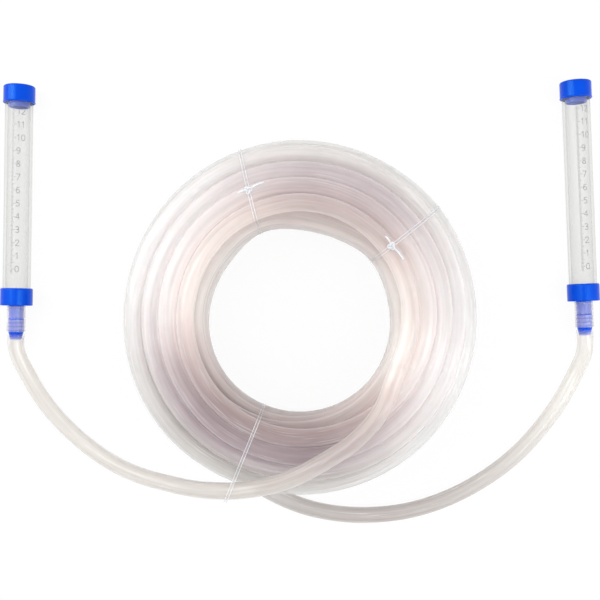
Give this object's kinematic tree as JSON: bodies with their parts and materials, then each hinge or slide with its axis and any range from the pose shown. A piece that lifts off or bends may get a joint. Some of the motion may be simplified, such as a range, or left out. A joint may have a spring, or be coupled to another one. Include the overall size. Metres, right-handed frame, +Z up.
{
  "type": "water level",
  "caption": "Water level: clear graduated vials with blue stoppers and barbed adapters at the ends of a long clear hose wound in a tied coil, for setting points level.",
  "frame": {"origin": "on the table, midway between the vials and midway along them", "axes": "+X from the left vial to the right one, +Y along the vials towards their stoppers, +Z up"},
  "size_m": [0.461, 0.3408, 0.1021],
  "materials": {
    "clear_tube": "clear, gloss",
    "blue_plastic": "moulded, semi-gloss",
    "seal": "matt",
    "clear_hose": "soft, clear, gloss",
    "tie": "thin, clear"
  },
  "bodies": {
    "coil": {"hose_coil": "clear_hose", "inner_turns": "clear_hose", "left_hose_tail": "clear_hose", "right_hose_tail": "clear_hose", "upper_tie": "tie", "right_tie": "tie", "lower_tie": "tie"},
    "left_vial": {"left_vial_tube": "clear_tube", "left_hose_adapter": "blue_plastic", "left_adapter_seal": "seal", "left_hose_end": "clear_hose"},
    "left_cap": {"left_top_cap": "blue_plastic", "left_cap_seal": "seal"},
    "right_vial": {"right_vial_tube": "clear_tube", "right_hose_adapter": "blue_plastic", "right_adapter_seal": "seal", "right_hose_end": "clear_hose"},
    "right_cap": {"right_top_cap": "blue_plastic", "right_cap_seal": "seal"}
  },
  "joints": [
    {"name": "left_vial_raise", "type": "hinge", "parent": "coil", "child": "left_vial", "pos_m": [-0.2198, -0.17, 0.017], "axis": [0.9999, -0.0147, 0], "range_deg": [0, 90], "deforming": ["left_hose_tail"]},
    {"name": "left_cap_pull", "type": "slide", "parent": "left_vial", "child": "left_cap", "axis": [0.0147, 0.9999, 0], "range_m": [0, 0.04]},
    {"name": "right_vial_raise", "type": "hinge", "parent": "coil", "child": "right_vial", "pos_m": [0.2222, -0.166, 0.017], "axis": [0.9992, 0.0387, 0], "range_deg": [0, 90], "deforming": ["right_hose_tail"]},
    {"name": "right_cap_pull", "type": "slide", "parent": "right_vial", "child": "right_cap", "axis": [-0.0387, 0.9992, 0], "range_m": [0, 0.04]}
  ]
}
